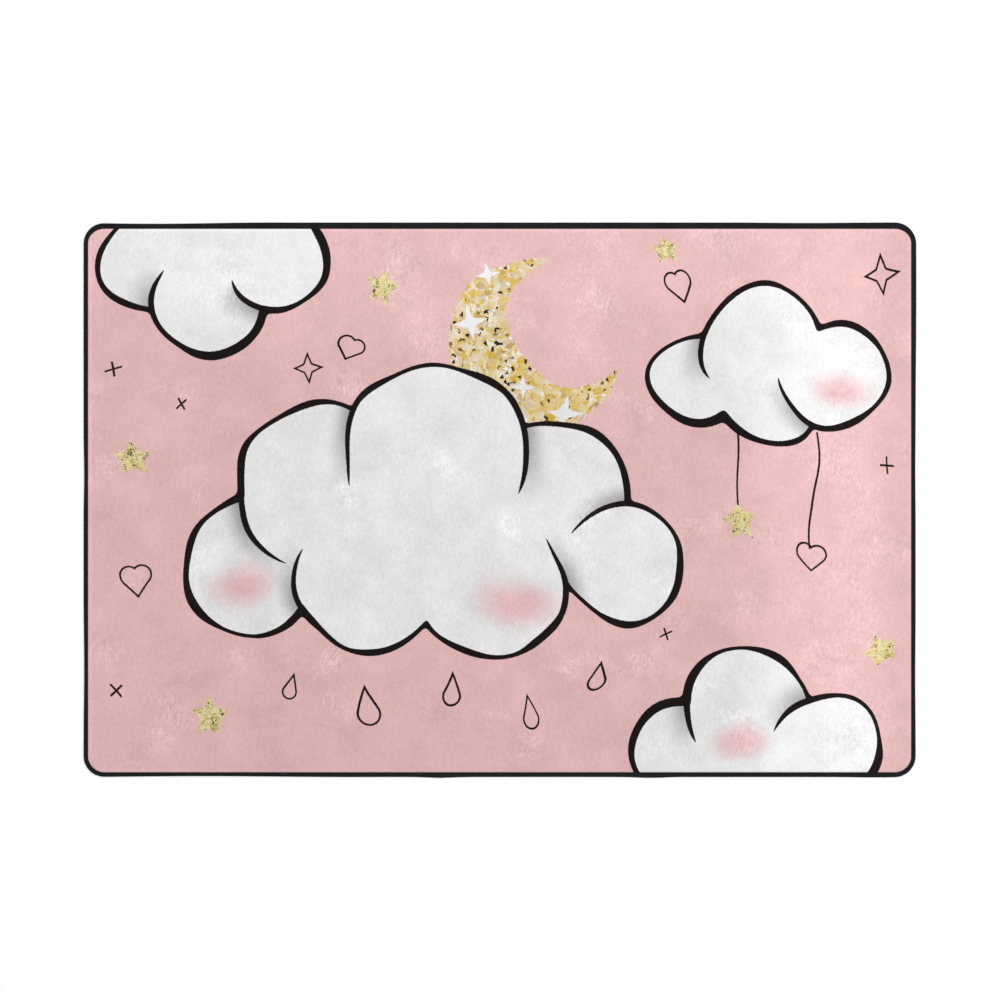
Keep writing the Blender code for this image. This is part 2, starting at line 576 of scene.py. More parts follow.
def drop_edge(tree, place):
    """A round drop drawn up to a tip."""
    x, y = add(tree, "SeparateXYZ", (place,), X_AND_Y)
    side = add(tree, "Math", (x,), operation="ABSOLUTE")
    slope = math.asin(1 / DROP_TIP)
    across = add(tree, "Math", (side, math.cos(slope), -1.0), operation="MULTIPLY_ADD")
    flank = add(tree, "Math", (y, math.sin(slope), across), operation="MULTIPLY_ADD")
    shoulder = add(tree, "Math", (math.sin(slope), y), operation="SUBTRACT")
    tip = add(tree, "Math", (flank, shoulder), operation="MAXIMUM")
    ball = circle_edge(tree, place, 0.0, 0.0, 1.0)
    return of_all(tree, (ball, tip), "MINIMUM")


def plus_edge(tree, place):
    """A small cross of two strokes without width."""
    folded = add(tree, "VectorMath", (place,), operation="ABSOLUTE")
    x, y = add(tree, "SeparateXYZ", (folded,), X_AND_Y)
    longer = add(tree, "Math", (x, y), operation="MAXIMUM")
    shorter = add(tree, "Math", (x, y), operation="MINIMUM")
    past = add(tree, "Math", (longer, 1.0), operation="SUBTRACT")
    return add(tree, "Math", (past, shorter), operation="MAXIMUM")


def string_edge(tree, point, row):
    """A string without width that hangs straight down."""
    half = (row["top"] - row["foot"]) / 2
    middle = (row["x"], row["foot"] + half, 0.0)
    place = add(tree, "VectorMath", (point, middle), operation="SUBTRACT")
    folded = add(tree, "VectorMath", (place,), operation="ABSOLUTE")
    x, y = add(tree, "SeparateXYZ", (folded,), X_AND_Y)
    past = add(tree, "Math", (y, half), operation="SUBTRACT")
    return add(tree, "Math", (x, past), operation="MAXIMUM")


def curl(tree, point, row):
    """A brushed arc that tapers at both ends: its outline, and the soft shade on its outer side."""
    x, y, radius = CLOUDS[row["cloud"]][row["puff"]]
    place = add(tree, "VectorMath", (point, (x, y, 0.0)), operation="SUBTRACT")
    reach = add(tree, "VectorMath", (place,), operation="LENGTH")
    facing = math.radians(row["facing"])
    ahead = (math.cos(facing), math.sin(facing), 0.0)
    along = add(tree, "VectorMath", (place, ahead), operation="DOT_PRODUCT")
    turn = add(tree, "Math", (along, reach), operation="DIVIDE")
    limit = math.cos(math.radians(row["spread"]))
    taper = add(tree, "MapRange", (turn, limit, 1.0, 0.0, 1.0))
    off = add(tree, "Math", (reach, radius), operation="SUBTRACT")
    near = add(tree, "Math", (off,), operation="ABSOLUTE")
    width = add(tree, "Math", (taper, CURL_TAPER), operation="POWER")
    past_tip = add(tree, "Math", (near, INK_RIM), operation="ADD")
    stroke = add(tree, "Math", (width, -CURL_LINE, past_tip), operation="MULTIPLY_ADD")
    outside = add(tree, "MapRange", (off, -ARC_SHADE_START, ARC_SHADE_START, 0.0, 1.0))
    fading = (off, ARC_SHADE_REACH, 0.0, 0.0, 1.0)
    fade = add(tree, "MapRange", fading, interpolation_type="SMOOTHSTEP")
    soft = add(tree, "Math", (fade, outside), operation="MULTIPLY")
    shade = add(tree, "Math", (soft, taper), operation="MULTIPLY")
    return stroke, shade


def blush(tree, point, row):
    """A soft oval, one in its middle and nothing at its rim."""
    place = placed(tree, point, row, "width", "height")
    reach = add(tree, "VectorMath", (place,), operation="LENGTH")
    return add(tree, "MapRange", (reach, *BLUSH_FADE, 0.0, 1.0), interpolation_type="SMOOTHSTEP")


def painted(tree, base, edge, colour, rim=INK_RIM):
    """A picture with one more shape laid on it: its colour fills its outline, with a soft rim."""
    share = add(tree, "MapRange", (edge, rim, -rim, 0.0, 1.0), interpolation_type="SMOOTHSTEP")
    return add(tree, "Mix", (share, base, colour), data_type="RGBA")


def hand_drawn(tree, place):
    """The place shifted a little to and fro, so that outlines waver as a hand draws them."""
    drawn = add(tree, "VectorMath", (place, (1.0, 1.0, 0.0)), operation="MULTIPLY")
    for size, strength, detail in ((SWAY_SIZE, SWAY, 0.0), (BLEED_SIZE, BLEED, 1.0)):
        push = wander(tree, place, size, detail)
        drawn = add(tree, "VectorMath", (push, (strength, strength, 0.0), drawn), operation="MULTIPLY_ADD")
    return drawn


def flakes(tree, place, size, metric, drift, colours):
    """Cells of one size, each in one of the colours, as (colour, the number that picked it)."""
    cell = add(tree, "TexVoronoi", sized(place, size), "Color", voronoi_dimensions="2D", distance=metric)
    own = add(tree, "SeparateColor", (cell,))
    pick = add(tree, "Math", (drift, FLAKE_DRIFT, own), operation="MULTIPLY_ADD")
    colour = add(tree, "ValToRGB", (pick,), stops=colours)
    colour.node.color_ramp.interpolation = "CONSTANT"
    return colour, pick


def glitter(tree, place, size, colours, bits):
    """Printed glitter: two layers of see-through flakes, with small bright and dark bits strewn on them.

    A slow drift gathers the same colours in clusters.
    """
    push = wander(tree, place, size, 1.0)
    strength = size * FLAKE_SHAKE
    ragged = add(tree, "VectorMath", (push, (strength, strength, 0.0), place), operation="MULTIPLY_ADD")
    gathering = sized(place, size * FLAKE_GATHER, Detail=1.0)
    gathered = add(tree, "TexNoise", gathering, noise_dimensions="2D")
    drift = add(tree, "Math", (gathered, 0.5), operation="SUBTRACT")
    under, _ = flakes(tree, ragged, size, "CHEBYCHEV", drift, colours)
    over, _ = flakes(tree, ragged, size * FLAKE_OVER, "EUCLIDEAN", drift, colours)
    colour = add(tree, "Mix", (FLAKE_VEIL, under, over), data_type="RGBA")
    small, which = flakes(tree, ragged, size * BIT_SHARE, "MANHATTAN", drift, bits)
    some = add(tree, "Math", (which, BITS_FROM), operation="GREATER_THAN")
    return add(tree, "Mix", (some, colour, small), data_type="RGBA")


def painted_light_ramp(tree, place):
    """Painted light: how much lighter the colour is made towards three sides, as light falls across the rug,
    with less of it beside the right-hand binding as painted shade.
    """
    push = wander(tree, place, PAINTED_LIGHT_SIZE, 3.0)
    moved = add(tree, "VectorMath", (push, PAINTED_LIGHT_SHIFT, place), operation="MULTIPLY_ADD")
    light_ramps = []
    for row in rows(PAINTED_LIGHT_COLUMNS, PAINTED_LIGHT_RAMPS):
        along = add(tree, "SeparateXYZ", (moved,), row["axis"])
        rising = (along, row["start"], row["full"], 0.0, row["gain"])
        light_ramps.append(add(tree, "MapRange", rising, interpolation_type="SMOOTHSTEP"))
    # Painted shade beside the right-hand binding, where the painted light falls back
    near = add(tree, "VectorMath", (push, (SEAM_SHADE_SHIFT, 0.0, 0.0), place), operation="MULTIPLY_ADD")
    edgeward = add(tree, "SeparateXYZ", (near,))
    seam_shading = (edgeward, SEAM_SHADE_START, SEAM_SHADE_FULL, 1.0, SEAM_SHADE_LIGHT_SHARE)
    light_kept = add(tree, "MapRange", seam_shading, interpolation_type="SMOOTHSTEP")
    return add(tree, "Math", (of_all(tree, light_ramps, "MAXIMUM"), light_kept), operation="MULTIPLY")


def painted_seam_highlight(tree, place):
    """Painted highlight: how much lighter the colour is made beside the binding, where light catches the
    puffed seam, by the side it lies on.
    """
    seam = LIP_RING.max(axis=0)
    aside = add(tree, "VectorMath", (place,), operation="ABSOLUTE")
    room = add(tree, "VectorMath", ((seam[0], seam[1], 0.0), aside), operation="SUBTRACT")
    x, y = add(tree, "SeparateXYZ", (room,), X_AND_Y)
    inset = add(tree, "Math", (x, y), operation="MINIMUM")
    lean = add(tree, "VectorMath", (place, (-1 / seam[0], 1 / seam[1], 0.0)), operation="DOT_PRODUCT")
    highlight_strength = add(tree, "MapRange", (lean, LEAN_LOW, LEAN_HIGH, SEAM_HIGHLIGHT_LOW, SEAM_HIGHLIGHT_HIGH))
    return add(tree, "MapRange", (inset, 0.0, SEAM_HIGHLIGHT_REACH, highlight_strength, 0.0), interpolation_type="SMOOTHSTEP")


def printed_picture(tree, place):
    """The print's colours, as shares of the light that the bare cloth gives back."""
    point = hand_drawn(tree, place)
    clouds = [cloud_edge(tree, point, puffs) for puffs in CLOUDS]
    sky = of_all(tree, clouds, "MINIMUM")

    moon = circle_edge(tree, point, MOON["x"], MOON["y"], MOON["radius"])
    bite = circle_edge(tree, point, MOON["bite_x"], MOON["bite_y"], MOON["bite_radius"])
    away = add(tree, "Math", (bite, -1.0), operation="MULTIPLY")
    crescent = add(tree, "Math", (moon, away), operation="MAXIMUM")
    stars = motifs(tree, point, star_edge, GOLD_STARS, *GOLD_STAR)
    gold = [crescent, of_all(tree, stars, "MINIMUM")]
    sparkles = motifs(tree, point, star_edge, SPARKLES, *SPARKLE)
    frays = add(tree, "TexNoise", sized(place, FRAY_SIZE, Detail=1.0), noise_dimensions="2D")
    fray = add(tree, "Math", (frays, 0.5), operation="SUBTRACT")
    moon_gold, star_gold = [add(tree, "Math", (fray, FRAY, edge), operation="MULTIPLY_ADD") for edge in gold]

    outlines = motifs(tree, point, heart_edge, HEARTS) + motifs(tree, point, drop_edge, DROPS)
    outlines += motifs(tree, point, star_edge, LINE_STARS, *LINE_STAR)
    drawn = add(tree, "Math", (of_all(tree, outlines, "MINIMUM"),), operation="ABSOLUTE")
    strokes = motifs(tree, point, plus_edge, PLUSES)
    strokes += [string_edge(tree, point, row) for row in rows(STRING_COLUMNS, STRINGS)]
    middles = of_all(tree, (drawn, *strokes), "MINIMUM")
    thin = add(tree, "Math", (middles, THIN_LINE), operation="SUBTRACT")

    curls, shades = zip(*[curl(tree, point, row) for row in rows(CURL_COLUMNS, CURLS)])
    shadow = of_all(tree, shades, "MAXIMUM")
    rosy = of_all(tree, [blush(tree, point, row) for row in rows(BLUSH_COLUMNS, BLUSHES)], "MAXIMUM")

    press = add(tree, "TexNoise", sized(place, PRESS_SIZE, Detail=0.0), noise_dimensions="2D")
    widths = (BOLD_LINE - BOLD_SWELL / 2, BOLD_LINE + BOLD_SWELL / 2)
    swell = add(tree, "MapRange", (press, NOISE_LOW, NOISE_HIGH, *widths))
    rim = add(tree, "Math", (sky,), operation="ABSOLUTE")
    bold = add(tree, "Math", (rim, swell), operation="SUBTRACT")
    ink_edge = of_all(tree, (bold, thin, *curls), "MINIMUM")

    cloud = add(tree, "Mix", (rosy, linear(WHITE), linear(BLUSH)), data_type="RGBA")
    grey = add(tree, "Math", (shadow, SHADE_DEPTH), operation="MULTIPLY")
    cloud = add(tree, "Mix", (grey, cloud, linear(SHADE)), data_type="RGBA")
    coarse = glitter(tree, point, COARSE_FLAKE, COARSE_COLOURS, COARSE_BITS)
    fine = glitter(tree, point, FINE_FLAKE, FINE_COLOURS, FINE_BITS)
    picture = painted(tree, linear(PINK), moon_gold, coarse, FRAY_RIM)
    picture = painted(tree, picture, star_gold, fine, FRAY_RIM)
    picture = painted(tree, picture, of_all(tree, sparkles, "MINIMUM"), linear(WHITE))
    picture = painted(tree, picture, sky, cloud)
    return painted(tree, picture, ink_edge, linear(INK))


def new_material(name):
    """A material with a principled shader and nothing else, as (material, tree)."""
    material = bpy.data.materials.new(name)
    material.use_nodes = True
    return material, material.node_tree


def finish(tree, looks):
    """Gives the principled shader its looks, by the names of its inputs."""
    shader = tree.nodes["Principled BSDF"]
    for name, value in looks.items():
        feed(tree, shader.inputs[name], value)


def printed_flannel():
    """Polyester flannel with a short brushed nap, printed by heat transfer.

    The nap scatters light, so the print is dull and a little chalky. Where it was brushed one way or the
    other it looks lighter or darker, in patches and in short streaks, with fine grain from its tufts. Painted
    light is added to its colour as well: lighter towards three sides, a painted highlight beside the binding,
    and painted shade beside the right-hand binding.
    """
    material, tree = new_material("printed_flannel")
    place = add(tree, "TexCoord", output="Object")
    picture = printed_picture(tree, place)
    painted_light = painted_light_ramp(tree, place)

    patches = add(tree, "TexNoise", sized(place, PATCH_SIZE, Detail=4.0, Roughness=0.65))
    smudges = add(tree, "TexNoise", sized(place, SMUDGE_SIZE, Detail=2.0))
    lying = {"Vector": place, "Rotation": (0.0, 0.0, STREAK_LEAN)}
    lying["Scale"] = (STREAK_LENGTH, STREAK_WIDTH, 1.0)
    strokes = add(tree, "Mapping", lying, vector_type="TEXTURE")
    brushed = add(tree, "TexNoise", sized(strokes, 1.0, Detail=4.0, Roughness=0.75))
    tufts = add(tree, "TexNoise", sized(place, TUFT_SIZE, Detail=2.0, Roughness=0.7))
    strays = ((patches, PATCH_TONE), (smudges, SMUDGE_TONE), (brushed, STREAK_TONE), (tufts, TUFT_TONE))
    patchy, smudgy, streaky, grainy = [
        add(tree, "MapRange", (pattern, NOISE_LOW, NOISE_HIGH, -tone, tone)) for pattern, tone in strays
    ]

    scuffs = add(tree, "TexNoise", sized(place, SCUFF_SIZE, Detail=3.0))
    most = max(row["gain"] for row in rows(PAINTED_LIGHT_COLUMNS, PAINTED_LIGHT_RAMPS))
    start = add(tree, "MapRange", (painted_light, 0.0, most, SCUFF_START_UNLIT, SCUFF_START_LIT))
    scuffed = add(tree, "MapRange", (scuffs, start, SCUFF_FULL, 0.0, 1.0))
    ruffled = add(tree, "MapRange", (scuffed, 0.0, 1.0, NAP_SMOOTH, NAP_SCUFFED))
    rough_nap = add(tree, "Math", (streaky, grainy), operation="ADD")
    paler = add(tree, "MapRange", (painted_light, 0.0, most, SCUFF_TONE, 0.0))
    smudged = add(tree, "Math", (smudgy, paler), operation="ADD")
    uneven = add(tree, "Math", (smudged, scuffed, patchy), operation="MULTIPLY_ADD")
    uneven = add(tree, "Math", (rough_nap, ruffled, uneven), operation="MULTIPLY_ADD")
    # Painted light, painted shade and a painted highlight by the seam go into the nap's tone here, and so
    # into the colour
    level = of_all(tree, (uneven, painted_light, painted_seam_highlight(tree, place), TONE), "ADD")
    flecked = add(tree, "MapRange", (brushed, FLECK_START, FLECK_FULL, 0.0, FLECK_FADE))
    fade = add(tree, "Math", (flecked, scuffed), operation="MULTIPLY")
    faded = add(tree, "Math", (1.0, fade), operation="SUBTRACT")
    chalky = add(tree, "Gamma", (picture, faded))
    colour = add(tree, "VectorMath", (chalky, level), operation="MULTIPLY")

    fine = add(tree, "Bump", {"Height": tufts, "Strength": 0.35, "Distance": 0.8 * MM})
    coarse = add(tree, "Bump", {"Height": brushed, "Strength": 0.35, "Distance": 1.2 * MM, "Normal": fine})
    rough = add(tree, "MapRange", (brushed, NOISE_LOW, NOISE_HIGH, *NAP_ROUGHNESS))
    finish(tree, {"Base Color": colour, "Normal": coarse, "Roughness": rough})
    finish(tree, {"Specular IOR Level": 0.08, "Sheen Weight": 0.03, "Sheen Roughness": 0.5})
    return material


def bands(size):
    """The scale at which a wave texture's bands lie one size apart."""
    return math.tau / WAVE_TURN / size


def backing_cloth():
    """Plain woven polyester backing: off-white and matt, with a faint even grid of threads."""
    material, tree = new_material("woven_backing")
    place = add(tree, "TexCoord", output="Object")
    threads = {"Vector": place, "Scale": bands(BACKING_THREAD), "Distortion": 0.4}
    warp = add(tree, "TexWave", threads, "Fac", bands_direction="X")
    weft = add(tree, "TexWave", threads, "Fac", bands_direction="Y")
    weave = add(tree, "Math", (warp, weft), operation="MULTIPLY")
    patches = add(tree, "TexNoise", sized(place, BACKING_PATCH, Detail=4.0))
    shade = add(tree, "Math", (weave, BACKING_WEAVE_SHARE, patches), operation="MULTIPLY_ADD")
    colour = add(tree, "ValToRGB", (shade,), stops=BACKING_COLOURS)
    bump = add(tree, "Bump", {"Height": weave, "Strength": 0.5, "Distance": 0.3 * MM})
    rough = add(tree, "MapRange", (shade, BACKING_LOW, BACKING_HIGH, *BACKING_ROUGHNESS))
    finish(tree, {"Base Color": colour, "Normal": bump, "Roughness": rough, "Specular IOR Level": 0.25})
    return material


def binding_tape():
    """Black polyester tape in a fine twill: dull, with slanting ribs that give it a faint gleam.

    The weave reads the tape's own flat map, in metres along it and across it, so it follows the corners.
    """
    material, tree = new_material("binding_tape")
    cut = add(tree, "UVMap", uv_map="weave")
    slanted = add(tree, "Mapping", {"Vector": cut, "Rotation": (0.0, 0.0, RIB_SLANT)})
    ribbing = {"Vector": slanted, "Scale": bands(TAPE_RIB), "Distortion": 0.6, "Detail": 1.0}
    ribs = add(tree, "TexWave", ribbing, "Fac")
    fuzz = add(tree, "TexNoise", sized(cut, TAPE_FUZZ, Detail=3.0))
    worn = add(tree, "TexNoise", sized(cut, TAPE_WEAR, Detail=3.0))
    height = add(tree, "Math", (fuzz, TAPE_FUZZ_SHARE, ribs), operation="MULTIPLY_ADD")
    shade = add(tree, "Math", (ribs, TAPE_RIB_SHARE, worn), operation="MULTIPLY_ADD")
    colour = add(tree, "ValToRGB", (shade,), stops=TAPE_COLOURS)
    bump = add(tree, "Bump", {"Height": height, "Strength": 0.5, "Distance": 0.25 * MM})
    rough = add(tree, "MapRange", (height, *TAPE_RELIEF, *TAPE_ROUGHNESS))
    finish(tree, {"Base Color": colour, "Normal": bump, "Roughness": rough, "Specular IOR Level": 0.13})
    return material


def sewing_thread():
    """Spun polyester thread, black, a little shinier than the tape it holds."""
    material, tree = new_material("sewing_thread")
    place = add(tree, "TexCoord", output="Object")
    twist = add(tree, "TexNoise", sized(place, THREAD_TWIST, Detail=2.0))
    colour = add(tree, "ValToRGB", (twist,), stops=THREAD_COLOURS)
    bump = add(tree, "Bump", {"Height": twist, "Strength": 0.4, "Distance": 0.1 * MM})
    rough = add(tree, "MapRange", (twist, NOISE_LOW, NOISE_HIGH, *THREAD_ROUGHNESS))
    finish(tree, {"Base Color": colour, "Normal": bump, "Roughness": rough, "Specular IOR Level": 0.15})
    return material


# The seam, read from the solids

def ring_at(height):
    """The binding's points at one height, in order round the rug."""
    points = set()
    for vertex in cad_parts["edge_binding"].data.vertices:
        if abs(vertex.co.z - height) < LEVEL_TOLERANCE:
            points.add((round(vertex.co.x, 6), round(vertex.co.y, 6)))
    return np.array(sorted(points, key=lambda place: math.atan2(place[1], place[0])))


def through(points, knots, at):
    """A smooth closed curve through the points, which lie at the knots along it, read off at some places."""
    gaps = np.diff(knots)
    ahead = np.roll(points, -1, axis=0)
    slopes = (ahead - np.roll(points, 1, axis=0)) / (gaps + np.roll(gaps, 1))[:, None]
    index = np.clip(np.searchsorted(knots, at, side="right") - 1, 0, len(points) - 1)
    gap = gaps[index][:, None]
    t = (at[:, None] - knots[index][:, None]) / gap
    start = points[index] * (2 * t ** 3 - 3 * t ** 2 + 1) + slopes[index] * gap * (t ** 3 - 2 * t ** 2 + t)
    end_slopes = np.roll(slopes, -1, axis=0)[index]
    return start + ahead[index] * (3 * t ** 2 - 2 * t ** 3) + end_slopes * gap * (t ** 3 - t ** 2)


# The crest is the tape's highest line, from which it folds down round the mat's edge
CREST_RING = ring_at(BOUND_TOP)
LIP_RING = ring_at(LIP_TOP)
SPACING = np.linalg.norm(np.roll(CREST_RING, -1, axis=0) - CREST_RING, axis=1)
KNOTS = np.concatenate([[0.0], np.cumsum(SPACING)])


def seam_walk(count):
    """Even steps round the seam: points on the crest, points on the lip, and the way out from the rug."""
    at = np.arange(count) * KNOTS[-1] / count
    crest = through(CREST_RING, KNOTS, at)
    core, way, _, radius, _ = rounded(crest, straight_runs())
    return crest, core + way * radius[:, None], way


def sampled_noise(points, scale, number):
    """Smooth noise from about -1 to 1 at each flat point, with features of one over the scale."""
    offset = Vector([number * share for share in NOISE_OFFSET])
    return np.array([noise.noise(Vector((x, y, 0.0)) * scale + offset) for x, y in points])


def flat_grid(columns, lines):
    """A flat grid to be folded into a piece, as (bmesh, each point's column, each point's line)."""
    bm = bmesh.new()
    bmesh.ops.create_grid(bm, x_segments=columns, y_segments=lines, size=1.0)
    bm.verts.ensure_lookup_table()
    place = np.array([vertex.co[:2] for vertex in bm.verts])
    column = np.rint((place[:, 0] + 1) / 2 * columns).astype(int)
    line = np.rint((place[:, 1] + 1) / 2 * lines).astype(int)
    return bm, column, line


def move_to(bm, places):
    """Moves a bmesh's points to their places."""
    for vertex, place in zip(bm.verts, places):
        vertex.co = place


def new_object(name, data):
    """Puts a mesh, a lamp or a camera into the scene."""
    thing = bpy.data.objects.new(name, data)
    bpy.context.scene.collection.objects.link(thing)
    return thing


def new_mesh(name, bm, materials):
    """Makes a smooth mesh of a bmesh and puts it into the scene."""
    mesh = bpy.data.meshes.new(name)
    bm.to_mesh(mesh)
    bm.free()
    for material in materials:
        mesh.materials.append(material)
    mesh.shade_smooth()
    return new_object(name, mesh)


def new_piece(name, bm, materials):
    """Makes one piece of the rug, and has it ride with the rug."""
    piece = new_mesh(name, bm, materials)
    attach(piece, "root")
    return piece


# The mat

def seam_lines(low, high):
    """Places of grid lines from one seam to the other, and on past both for what is folded under."""
    steps = [FINE_STEP]
    while steps[-1] * STEP_GROWTH < COARSE_STEP:
        steps.append(steps[-1] * STEP_GROWTH)
    middle = high - low - 2 * sum(steps)
    count = round(middle / COARSE_STEP)
    inner = np.cumsum([0.0] + steps + [middle / count] * count + steps[::-1])
    hidden = fold_lengths()[1:]
    return np.concatenate([low - hidden[::-1], low + inner, high + hidden])


def fold_lengths():
    """How much cloth lies between the lip line and each line of the folded edge."""
    return np.cumsum([0.0] + [math.dist(a, b) for a, b in zip(EDGE_FOLD, EDGE_FOLD[1:])])


def straight_runs():
    """The lip line's box, and the box of its corners' middles."""
    low, high = LIP_RING.min(axis=0), LIP_RING.max(axis=0)
    on_back = LIP_RING[np.abs(LIP_RING[:, 1] - high[1]) < LEVEL_TOLERANCE]
    on_right = LIP_RING[np.abs(LIP_RING[:, 0] - high[0]) < LEVEL_TOLERANCE]
    core_low = np.array([on_back[:, 0].min(), on_right[:, 1].min()])
    core_high = np.array([on_back[:, 0].max(), on_right[:, 1].max()])
    return low, high, core_low, core_high


def rounded(flat, box):
    """Cloth laid square, drawn in to the lip line's rounded corners.

    Gives five things for each point: the nearest point of the box of corner middles, the way out from
    there, how far out the point comes to lie, how far out the lip line lies that way, and the first as a
    share of the second. A point inside that box stays where it is, and has a share of nought.
    """
    low, high, core_low, core_high = box
    core = np.clip(flat, core_low, core_high)
    past = flat - core
    span = np.where(past >= 0, high - core_high, core_low - low)
    share = np.abs(past) / span
    longest = share.max(axis=1)
    way = past / np.maximum(np.linalg.norm(past, axis=1), LEAST_LENGTH)[:, None]
    # A corner's radius in each direction lies between the spans of its two sides
    radius = 1 / np.maximum(np.linalg.norm(way / span, axis=1), LEAST_LENGTH)
    return core, way, longest * radius, radius, longest


def seam_height(inset):
    """The padding's height at a distance in from the lip line."""
    share = np.clip(inset / PUFF_REACH, 0.0, 1.0)
    swell = np.sin(np.sqrt(share) * math.pi / 2)
    ridge = RIDGE_HEIGHT * np.exp(-((inset - RIDGE_PLACE) / RIDGE_WIDTH) ** 2)
    trough = TROUGH_DEPTH * np.exp(-((inset - TROUGH_PLACE) / TROUGH_WIDTH) ** 2)
    return LIP_LINE_HEIGHT + (MAT_TOP - LIP_LINE_HEIGHT) * swell + ridge - trough


def build_mat():
    """The mat: one sheet cut flat, drawn in round the corners, and folded under the tape to its back."""
    box = straight_runs()
    across = seam_lines(box[0][0], box[1][0])
    along = seam_lines(box[0][1], box[1][1])
    bm, column, line = flat_grid(len(across) - 1, len(along) - 1)
    flat = np.column_stack([across[column], along[line]])

    core, way, reach, radius, longest = rounded(flat, box)
    outer = longest > 0
    beyond = (longest - 1) * radius
    place = np.where(outer[:, None], core + way * reach[:, None], flat)

    lengths = fold_lengths()
    outs, heights = [[row[name] for row in rows(FOLD_COLUMNS, EDGE_FOLD)] for name in FOLD_COLUMNS]
    hidden = beyond > 0
    out = np.interp(beyond, lengths, outs)
    place = np.where(hidden[:, None], core + way * (radius + out)[:, None], place)

    edge_distance = np.minimum(flat - box[0], box[1] - flat).min(axis=1)
    inset = np.where(outer, np.maximum(-beyond, 0.0), edge_distance)
    seam = core + way * radius[:, None]
    near_seam = np.exp(-inset / PUCKER_REACH)
    pucker = PUCKER_HEIGHT * near_seam * sampled_noise(seam, 1 / PUCKER_LENGTH, PUCKER_NUMBER)
    small = SMALL_WAVE_HEIGHT * sampled_noise(place, 1 / SMALL_WAVE_LENGTH, SMALL_WAVE_NUMBER)
    broad = BROAD_WAVE_HEIGHT * sampled_noise(place, 1 / BROAD_WAVE_LENGTH, BROAD_WAVE_NUMBER)
    settle = np.clip(inset / SETTLE_REACH, 0.0, 1.0)
    visible = seam_height(inset) + (pucker + small + broad) * settle
    height = np.where(hidden, np.interp(beyond, lengths, heights), visible)
    move_to(bm, np.column_stack([place, height]))

    rim = [edge for edge in bm.edges if edge.is_boundary]
    underside = bmesh.ops.contextual_create(bm, geom=rim)["faces"][0]
    backed = beyond > lengths[BACKING_LINE] - LINE_TOLERANCE
    chart = bm.loops.layers.uv.new("OFBake")
    shares = (flat - flat.min(axis=0)) / np.ptp(flat, axis=0)
    for face in bm.faces:
        if all(backed[vertex.index] for vertex in face.verts):
            face.material_index = 1
        low, high = UNDERSIDE_MAP if face == underside else TOP_MAP
        for loop in face.loops:
            share = shares[loop.vert.index]
            loop[chart].uv = (MAP_LEFT + MAP_WIDTH * share[0], low + (high - low) * share[1])
    bmesh.ops.recalc_face_normals(bm, faces=bm.faces)
    piece = new_piece("printed_mat", bm, (printed_flannel(), backing_cloth()))
    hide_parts("mat")
    return piece


# The tape

def tape_path(lap):
    """The middle of the tape's thickness from lip to under lap: inset and height at each station's lines.

    The under lap rises a little where the lower stitches draw it up.
    """
    half = TAPE_THICKNESS / 2
    middle = BOUND_TOP / 2
    radius = middle - half
    lines = []
    for share in LAP_SHARES:
        rise = math.sin(share * math.pi / 2)
        lines.append((lap + (middle - lap) * share, LIP_TOP - half + (BOUND_TOP - LIP_TOP) * rise))
    for step in range(ROUND_STEPS + 1):
        angle = math.pi / 2 - step / ROUND_STEPS * math.pi
        lines.append((middle - radius * math.cos(angle), middle + radius * math.sin(angle)))
    lines.append((lap - STITCH_INSET - CHANNEL_WIDTH / 2, half))
    lines.append((lap - STITCH_INSET, half + CHANNEL_DEPTH))
    lines.append((lap, half))
    sides = [[np.broadcast_to(value, len(lap)) for value in side] for side in zip(*lines)]
    return np.stack(sides).T


def tape_section(lap):
    """The tape's closed section at each station: outside from lip to under lap, and back along the inside."""
    middle = tape_path(lap)
    inward, up = np.moveaxis(np.gradient(middle, axis=1), 2, 0)
    half = TAPE_THICKNESS / 2
    out = np.stack([up, -inward], axis=2) / np.hypot(inward, up)[:, :, None] * half
    bulge = (half * CUT_EDGE_BULGE, 0.0)
    back = (middle - out)[:, INNER_LINES]
    return np.concatenate([middle[:, :1] + bulge, middle + out, middle[:, -1:] + bulge, back], axis=1)


def build_tape():
    """The tape: one endless strip folded round the mat's edge, drawn down at every needle hole."""
    count = 2 * round(KNOTS[-1] / TAPE_STEP / 2)
    crest, lip, way = seam_walk(count)
    outer = crest + way * BOUND_TOP / 2
    lap = np.linalg.norm(outer - lip, axis=1)
    section = tape_section(lap)
    steps = section.shape[1]

    # Every other station is a needle hole, where the thread draws the tape down
    holes = np.where(np.arange(count) % 2 == 0, 1.0, 0.0)[:, None]
    off_stitch = np.abs(section[:, :, 0] - (lap - STITCH_INSET)[:, None])
    drawn = STITCH_PULL * holes * np.exp(-(off_stitch / STITCH_PULL_REACH) ** 2)
    wave = sampled_noise(lip, 1 / PUCKER_LENGTH, TAPE_WAVE_NUMBER)[:, None]
    on_top = section[:, :, 1] > BOUND_TOP / 2
    lipward = np.clip(section[:, :, 0] / lap[:, None], 0.0, 1.0)
    height = section[:, :, 1] + np.where(on_top, wave * TAPE_WAVE * lipward - drawn, 0.0)

    bm, station, line = flat_grid(count, steps)
    ring = station % count
    turn = line % steps
    place = outer[ring] - way[ring] * section[ring, turn, 0][:, None]
    chart = bm.loops.layers.uv.new("weave")
    gaps = np.linalg.norm(np.diff(section[0], axis=0, append=section[0][:1]), axis=1)
    widths = np.concatenate([[0.0], np.cumsum(gaps)])
    for face in bm.faces:
        for loop in face.loops:
            index = loop.vert.index
            loop[chart].uv = (station[index] * KNOTS[-1] / count, widths[line[index]])
    move_to(bm, np.column_stack([place, height[ring, turn]]))
    bmesh.ops.remove_doubles(bm, verts=bm.verts, dist=WELD)
    bmesh.ops.recalc_face_normals(bm, faces=bm.faces)
    piece = new_piece("edge_tape", bm, (binding_tape(),))
    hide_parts("edge_binding")
    return piece


# The stitches

